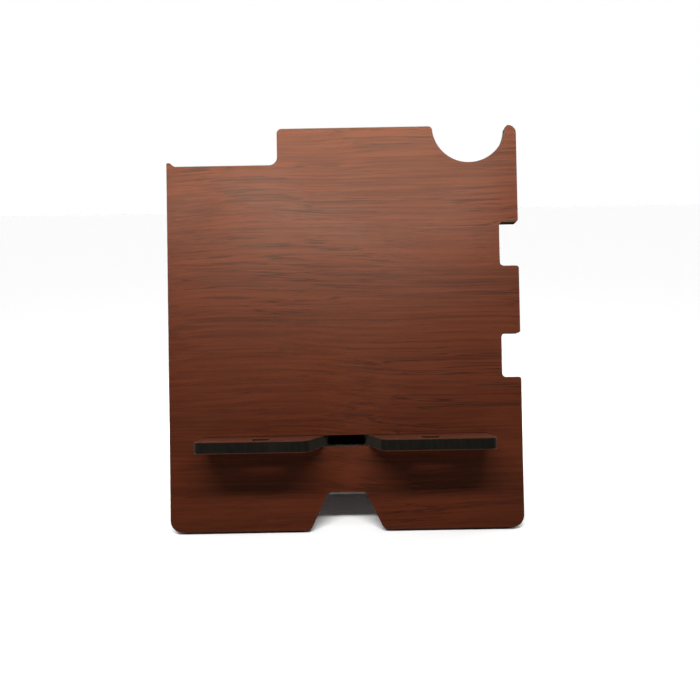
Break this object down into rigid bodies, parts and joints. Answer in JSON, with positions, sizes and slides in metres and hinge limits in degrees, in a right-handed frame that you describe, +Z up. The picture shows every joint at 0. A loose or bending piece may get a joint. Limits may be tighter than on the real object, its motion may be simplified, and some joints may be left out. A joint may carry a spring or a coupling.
{
  "type": "tablet stand",
  "caption": "Slot-together tablet stand in dark red wood laminate: a leaning front board with shaped top and side, and a shelf board whose prongs hold the tablet and whose tail is the leg.",
  "frame": {"origin": "on the desk, at the centre of the stand's footprint box", "axes": "+Z up; -Y is the side that the tablet faces; +X is to the right when seen from the front"},
  "size_m": [0.26, 0.2518, 0.2878],
  "materials": {
    "red_wood_laminate": "dark red wood-grain laminate, satin",
    "charred_core": "laser-cut fibreboard edge, charred dark and matte"
  },
  "bodies": {
    "root": {"front_board_core": "charred_core", "front_board_face_laminate": "red_wood_laminate", "front_board_back_laminate": "red_wood_laminate", "shelf_board_core": "charred_core", "shelf_board_top_laminate": "red_wood_laminate", "shelf_board_underside_laminate": "red_wood_laminate"}
  },
  "joints": []
}
